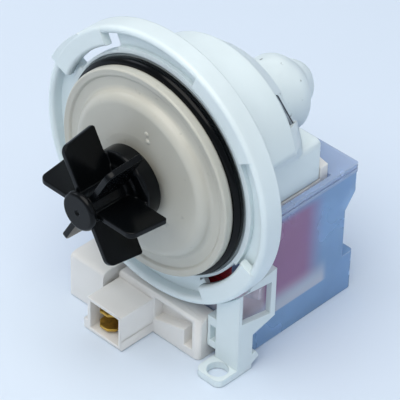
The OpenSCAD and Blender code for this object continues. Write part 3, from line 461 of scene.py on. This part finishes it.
def paper_floor(rgb):
    """Matt paper floor with a faint tone."""
    cloud_size = 60 * MM
    material, tree, place = start("Matt paper floor")
    cloud = add(tree, "ShaderNodeTexNoise", {"Vector": place, "Scale": 1 / cloud_size, "Detail": 2.0})
    tone = add(tree, "ShaderNodeValToRGB", {"Fac": cloud.outputs["Fac"]})
    tone.color_ramp.elements[0].color = shaded(rgb, 0.99)
    tone.color_ramp.elements[1].color = shaded(rgb, 1.01)
    finish(tree, {"Base Color": tone.outputs["Color"], "Roughness": 0.8})
    return material


def dress(material, *nodes):
    """Gives CAD nodes one material."""
    for node in nodes:
        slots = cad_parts[node].data.materials
        slots.clear()
        slots.append(material)


def solid(bm, name, material, smooth=30):
    """Makes an object at the origin from a bmesh, smooth but for edges over an angle in degrees."""
    mesh = bpy.data.meshes.new(name)
    bm.to_mesh(mesh)
    bm.free()
    mesh.materials.append(material)
    mesh.shade_smooth()
    mesh.set_sharp_from_angle(angle=math.radians(smooth))
    piece = bpy.data.objects.new(name, mesh)
    bpy.context.scene.collection.objects.link(piece)
    return piece


def merged(node, join=True):
    """A bmesh of a CAD node with its doubles merged and, if asked, its flat faces joined."""
    flat = math.radians(0.8)
    bm = bmesh.new()
    bm.from_mesh(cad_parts[node].data)
    bmesh.ops.remove_doubles(bm, verts=bm.verts, dist=2 * CLOSE)
    if join:
        bmesh.ops.dissolve_limit(bm, angle_limit=flat, verts=bm.verts, edges=bm.edges)
    return bm


def modified(bm, kind, **settings):
    """A bmesh after one modifier, which takes its settings by name."""
    raw = solid(bm, "raw shape", white_plastic())
    change = raw.modifiers.new("change", kind)
    for name, value in settings.items():
        setattr(change, name, value)
    mesh = bpy.data.meshes.new_from_object(raw.evaluated_get(bpy.context.evaluated_depsgraph_get()))
    bpy.data.objects.remove(raw)
    changed = bmesh.new()
    changed.from_mesh(mesh)
    return changed


def placed(bm, name, node, material, body="housing", smooth=40):
    """Finishes a piece that stands for a CAD node."""
    bmesh.ops.remove_doubles(bm, verts=bm.verts, dist=CLOSE)
    piece = solid(bm, name, material, smooth)
    weigh = piece.modifiers.new("flat faces stay flat", "WEIGHTED_NORMAL")
    weigh.keep_sharp = True
    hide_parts(node)
    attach(piece, body)


def softened(node, material, body="housing", radius=0.15, shortest=0.0, clamp=False):
    """A copy of a CAD node with its sharp edges rounded, as a mould leaves them, to stand for the node.

    Radius and shortest are in millimetres. Edges shorter than the shortest and those that end on them
    stay sharp, and clamp keeps two roundings from running into each other.
    """
    sharp_angle = math.radians(38)
    bm = merged(node)
    small = {v for e in bm.edges if e.calc_length() < shortest * MM for v in e.verts}
    sharp = [e for e in bm.edges if len(e.link_faces) == 2 and e.calc_face_angle(0) > sharp_angle
             and not small.intersection(e.verts)]
    bmesh.ops.bevel(bm, geom=sharp, offset=radius * MM, offset_type="OFFSET", segments=2, profile=0.5,
                    affect="EDGES", material=-1, clamp_overlap=clamp)
    placed(bm, node + "_moulding", node, material, body)


class PUMP_OT_stage(bpy.types.Operator):
    """Camera at the photograph's angle, soft lamps, and a plain pale floor"""

    bl_idname = "pump.stage"
    bl_label = "Stage"

    def execute(self, context):
        context.scene.view_settings.view_transform = "Standard"
        self.aim_camera(context.scene)
        self.hang_lamps(context.scene)
        self.lay_floor(context.scene.pump_colours.floor)
        return {"FINISHED"}

    def aim_camera(self, scene):
        """The camera: its angles and lens come from circles and right angles on the pump."""
        turn, rise, roll = math.radians(43.269), math.radians(37.909), math.radians(1.622)
        # The lens and the place of the ring's centre, in pixels of a photograph 400 pixels wide
        photo_w, focal, ring_x, ring_y = 400, 2603.0, 151.96, 168.42
        distance = 674.35 * MM
        sensor_w = 36
        side = Vector((math.cos(turn), math.sin(turn), 0))
        ahead = Vector((-math.sin(turn) * math.cos(rise), math.cos(turn) * math.cos(rise),
                        -math.sin(rise)))
        top = side.cross(ahead)
        right = side * math.cos(roll) + top * math.sin(roll)
        up = top * math.cos(roll) - side * math.sin(roll)
        to_ring = (ring_x - photo_w / 2) / focal * distance, (photo_w / 2 - ring_y) / focal * distance
        data = bpy.data.cameras.new("camera")
        data.sensor_fit = "HORIZONTAL"
        data.sensor_width = sensor_w
        data.lens = sensor_w * focal / photo_w
        data.clip_start, data.clip_end = 0.01, 10
        camera = bpy.data.objects.new("camera", data)
        scene.collection.objects.link(camera)
        spot = -right * to_ring[0] - up * to_ring[1] - ahead * distance
        turned = Matrix((right, up, -ahead)).transposed().to_4x4()
        camera.matrix_world = Matrix.Translation(spot) @ turned
        scene.camera = camera

    def hang_lamps(self, scene):
        """A bright room and three round soft lamps that face the pump."""
        world = bpy.data.worlds.new("soft room")
        world.use_nodes = True
        light = world.node_tree.nodes["Background"].inputs
        light["Color"].default_value = colour("#e4edf9") + (1,)
        light["Strength"].default_value = 0.5
        scene.world = world
        pump = Vector((0, 0.01, 0))
        # Each lamp has its place and diameter in metres, its power in watts and its tint.
        for name, spot, size, power, tint in (
                ("key lamp", (0.1, -0.35, 1.0), 1.2, 11.0, "#fffdf8"),
                ("front lamp", (-1.0, -0.3, 0.7), 0.5, 1.6, "#eef4ff"),
                ("side lamp", (0.95, -0.1, 0.3), 0.5, 0.25, "#cfe2ff")):
            lamp = bpy.data.lights.new(name, "AREA")
            lamp.shape, lamp.size, lamp.energy = "DISK", size, power
            lamp.color = colour(tint)
            stand = bpy.data.objects.new(name, lamp)
            stand.location = spot
            stand.rotation_euler = (pump - Vector(spot)).to_track_quat("-Z", "Y").to_euler()
            scene.collection.objects.link(stand)

    def lay_floor(self, rgb):
        """The floor: a wide sheet just under the pump's lowest point, which curves up far behind it."""
        # In metres
        left, width, front, back, bend_r, wall_h = -3, 6, -3, 2, 0.6, 2
        low = cad_box[0][2] - 0.2 * MM
        bm = bmesh.new()
        ends = [bm.verts.new((left, y, low)) for y in (front, back)]
        bm.edges.new(ends)
        bend = bmesh.ops.spin(bm, geom=[ends[1]], cent=(left, back, low + bend_r), axis=(1, 0, 0),
                              angle=math.radians(90), steps=16)
        crest = [g for g in bend["geom_last"] if isinstance(g, bmesh.types.BMVert)][0]
        bm.edges.new((crest, bm.verts.new(crest.co + Vector((0, 0, wall_h)))))
        grown = bmesh.ops.extrude_edge_only(bm, edges=bm.edges[:])
        far = [g for g in grown["geom"] if isinstance(g, bmesh.types.BMVert)]
        bmesh.ops.translate(bm, vec=(width, 0, 0), verts=far)
        bmesh.ops.remove_doubles(bm, verts=bm.verts, dist=CLOSE)
        bmesh.ops.recalc_face_normals(bm, faces=bm.faces)
        solid(bm, "floor", paper_floor(rgb))


class PUMP_OT_mouldings(bpy.types.Operator):
    """Plastic of the ring, back plate, cap, foot, connector piece, cover and impeller"""

    bl_idname = "pump.mouldings"
    bl_label = "Mouldings"

    def execute(self, context):
        colours = context.scene.pump_colours
        self.deep_windows()
        self.lumpy_cap()
        dress(cream_plastic(), "rotor_can", "drive_dog")
        dress(socket_plastic(), "front_washer", "rear_washer")
        dress(black_plastic(), "magnet_carrier")
        softened("mounting_foot", white_plastic(), radius=0.2, shortest=0.9,
                 clamp=True)
        softened("terminal_carrier", socket_plastic(), radius=0.25, shortest=0.45,
                 clamp=True)
        placed(merged("coil_cover", join=False), "coil_cover_moulding", "coil_cover",
               frosted_cover(colours.cover, colours.painted_coil_light), smooth=18)
        for side in ("left", "right"):
            softened("bobbin_" + side, socket_plastic())
        softened("impeller", black_plastic(), "impeller", radius=0.3)
        return {"FINISHED"}

    def deep_windows(self):
        """The flange: its windows run on into the edge of the seat, so that a coil shows through."""
        inner_r, outer_r, front, back = 32.5 * MM, 33.8 * MM, -1 * MM, 6 * MM
        # Where each window starts round the axis, and its span, in degrees
        windows = ((30, 30), (116.5, 33.5), (210, 30), (300, 30))
        sliver = 0.004 * MM
        cuts = bmesh.new()
        for begin, span in windows:
            corners = [cuts.verts.new((r, y, 0)) for r, y in (
                (inner_r, front), (outer_r, front), (outer_r, back), (inner_r, back))]
            face = cuts.faces.new(corners)
            bmesh.ops.rotate(cuts, verts=corners, matrix=Matrix.Rotation(-math.radians(begin), 3, "Y"))
            bmesh.ops.spin(cuts, geom=[face] + face.edges[:] + corners, axis=(0, -1, 0),
                           angle=math.radians(span), steps=10)
        bmesh.ops.recalc_face_normals(cuts, faces=cuts.faces)
        cutter = solid(cuts, "window cuts", white_plastic())
        bm = modified(merged("pump_flange"), "BOOLEAN", operation="DIFFERENCE", solver="EXACT",
                      object=cutter)
        bpy.data.objects.remove(cutter)
        bmesh.ops.dissolve_degenerate(bm, dist=sliver, edges=bm.edges)
        placed(bm, "pump_flange_moulding", "pump_flange", white_plastic(),
               smooth=30)

    def lumpy_cap(self):
        """The rear cap: its skin sank and wrinkled as the thick plastic cooled, and has soft lumps."""
        grid, rounds = 0.42 * MM, 28
        lump_size, lump_h, wrinkle_size, wrinkle_h = 8 * MM, 0.55, 3 * MM, 0.12
        # Rounding and lumps start behind the cap's front, and the lumps fade near the axis. In millimetres.
        round_from, lumps_from, lumps_over, axis_r = 34, 33, 4, 6
        bm = modified(merged("rear_cap", join=False), "REMESH", mode="VOXEL", voxel_size=grid)
        back = [v for v in bm.verts if v.co.y > round_from * MM]
        for _ in range(rounds):
            bmesh.ops.smooth_vert(bm, verts=back, factor=0.5, use_axis_x=True, use_axis_y=True,
                                  use_axis_z=True)
        bm.normal_update()
        for v in bm.verts:
            lump = noise.noise(v.co / lump_size) * lump_h
            lump += noise.noise(v.co / wrinkle_size) * wrinkle_h
            behind = min(1, max(0, (v.co.y / MM - lumps_from) / lumps_over))
            off_axis = min(1, math.hypot(v.co.x, v.co.z) / MM / axis_r)
            v.co += v.normal * lump * MM * behind * off_axis
        placed(bm, "rear_cap_skin", "rear_cap", soiled_plastic())


class PUMP_OT_rubber(bpy.types.Operator):
    """Rubber of the seal ring, the shaft seal and the bearing rings"""

    bl_idname = "pump.rubber"
    bl_label = "Rubber"

    def execute(self, context):
        dress(rubber(context.scene.pump_colours.rubber), "flange_seal", "front_cushion", "rear_cushion",
              "shaft_seal")
        return {"FINISHED"}


class PUMP_OT_metals(bpy.types.Operator):
    """Steel, brass, bronze and ferrite"""

    bl_idname = "pump.metals"
    bl_label = "Metals"

    def execute(self, context):
        steel = laminated_steel(context.scene.pump_sizes.sheet_t)
        dress(steel, "stator_pole_left", "stator_pole_right", "stator_yoke")
        dress(metal("Zinc-plated steel rivet", colour("#9a9da1"), rough=0.35), "core_rivets")
        # Ground shaft: fine rings round the axis
        dress(metal("Ground stainless steel", colour("#b9bcc0"), rough=0.2, streak=0.3,
                    axis=(0.1, 1, 0.1), spots=0.03), "rotor_shaft")
        # Rolled brass strip: streaks along the blade, and brown tarnish
        strip = metal("Rolled brass strip", context.scene.pump_colours.brass, rough=0.42, streak=0.3,
                      axis=(1, 0.08, 1), spots=0.12)
        for blade in ("terminal_upper", "terminal_lower"):
            softened(blade, strip)
        dress(sintered_bronze(), "front_bearing", "rear_bearing")
        dress(ferrite(), "rotor_magnet")
        dress(metal("Tinned fuse case", colour("#b5a27c"), rough=0.35), "thermal_fuse")
        return {"FINISHED"}


class PUMP_OT_coils(bpy.types.Operator):
    """Two coils, each wound in turns round its bobbin"""

    bl_idname = "pump.coils"
    bl_label = "Coils"

    def execute(self, context):
        wire = enamelled_wire(context.scene.pump_colours.wire)
        for side in ("left", "right"):
            self.wind("winding_" + side, context.scene.pump_sizes.wire_d, wire)
        return {"FINISHED"}

    def wind(self, node, pitch, wire):
        """Grooved turns over the height of the node, round a square hole for the bobbin's tube."""
        corner_r, coil_t = 2.6 * MM, 3.7 * MM
        # How deep the coil's outside lies under the crest of a turn, over the four steps of a turn
        groove = [depth * MM for depth in (0.16, 0.05, 0, 0.05)]
        low, high = [Vector(c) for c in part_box(node)]
        middle, half = (low + high) / 2, (high - low) / 2
        bm = bmesh.new()
        made = bmesh.ops.create_circle(bm, cap_ends=False, segments=40, radius=corner_r)
        for v in made["verts"]:
            v.co.z = low.z
            self.spread(v, half.x - corner_r, half.y - corner_r)
        foot = ring = bm.edges[:]
        turns = round((high.z - low.z) / pitch)
        step = (high.z - low.z) / turns / len(groove)
        for i in range(turns * len(groove)):
            grow = groove[i % len(groove)] - groove[(i + 1) % len(groove)]
            ring = self.lifted(bm, ring, step, grow)
        inner = [self.lifted(bm, edges, 0, -coil_t) for edges in (foot, ring)]
        bmesh.ops.bridge_loops(bm, edges=inner[0] + inner[1])
        bmesh.ops.translate(bm, verts=bm.verts, vec=(middle.x, middle.y, 0))
        bmesh.ops.recalc_face_normals(bm, faces=bm.faces)
        placed(bm, node + "_turns", node, wire, smooth=60)

    def lifted(self, bm, ring, rise, grow):
        """Extrudes a loop of edges upwards, and outwards by a distance."""
        new = bmesh.ops.extrude_edge_only(bm, edges=ring)["geom"]
        for v in [g for g in new if isinstance(g, bmesh.types.BMVert)]:
            v.co.z += rise
            self.spread(v, grow, grow)
        return [g for g in new if isinstance(g, bmesh.types.BMEdge)]

    def spread(self, vert, out_x, out_y):
        """Moves a corner away from the coil's middle, and leaves it on an axis that it lies on."""
        for axis, out in enumerate((out_x, out_y)):
            if abs(vert.co[axis]) > CLOSE:
                vert.co[axis] += out * math.copysign(1, vert.co[axis])


class PUMP_PT_panel(bpy.types.Panel):
    """Lists the pump's pieces, sizes and colours"""

    bl_label = "Drain Pump"
    bl_space_type = "VIEW_3D"
    bl_region_type = "UI"
    bl_category = "Drain Pump"

    def draw(self, context):
        column = self.layout.column()
        for group in (context.scene.pump_sizes, context.scene.pump_colours):
            for name in group.__annotations__:
                column.prop(group, name)
        for operator in STEPS:
            column.operator(operator.bl_idname)


STEPS = (PUMP_OT_stage, PUMP_OT_mouldings, PUMP_OT_rubber, PUMP_OT_metals, PUMP_OT_coils)
CLASSES = (PumpSizes, PumpColours) + STEPS + (PUMP_PT_panel,)


def register():
    """Registers the classes and hangs the settings on the scene."""
    for item in CLASSES:
        bpy.utils.register_class(item)
    bpy.types.Scene.pump_sizes = bpy.props.PointerProperty(type=PumpSizes)
    bpy.types.Scene.pump_colours = bpy.props.PointerProperty(type=PumpColours)


def unregister():
    """Takes the settings off the scene and the classes out again."""
    del bpy.types.Scene.pump_colours
    del bpy.types.Scene.pump_sizes
    for item in reversed(CLASSES):
        bpy.utils.unregister_class(item)


def main():
    """Builds every piece in order."""
    register()
    for operator in STEPS:
        group, name = operator.bl_idname.split(".")
        getattr(getattr(bpy.ops, group), name)()


if __name__ == "__main__":
    main()
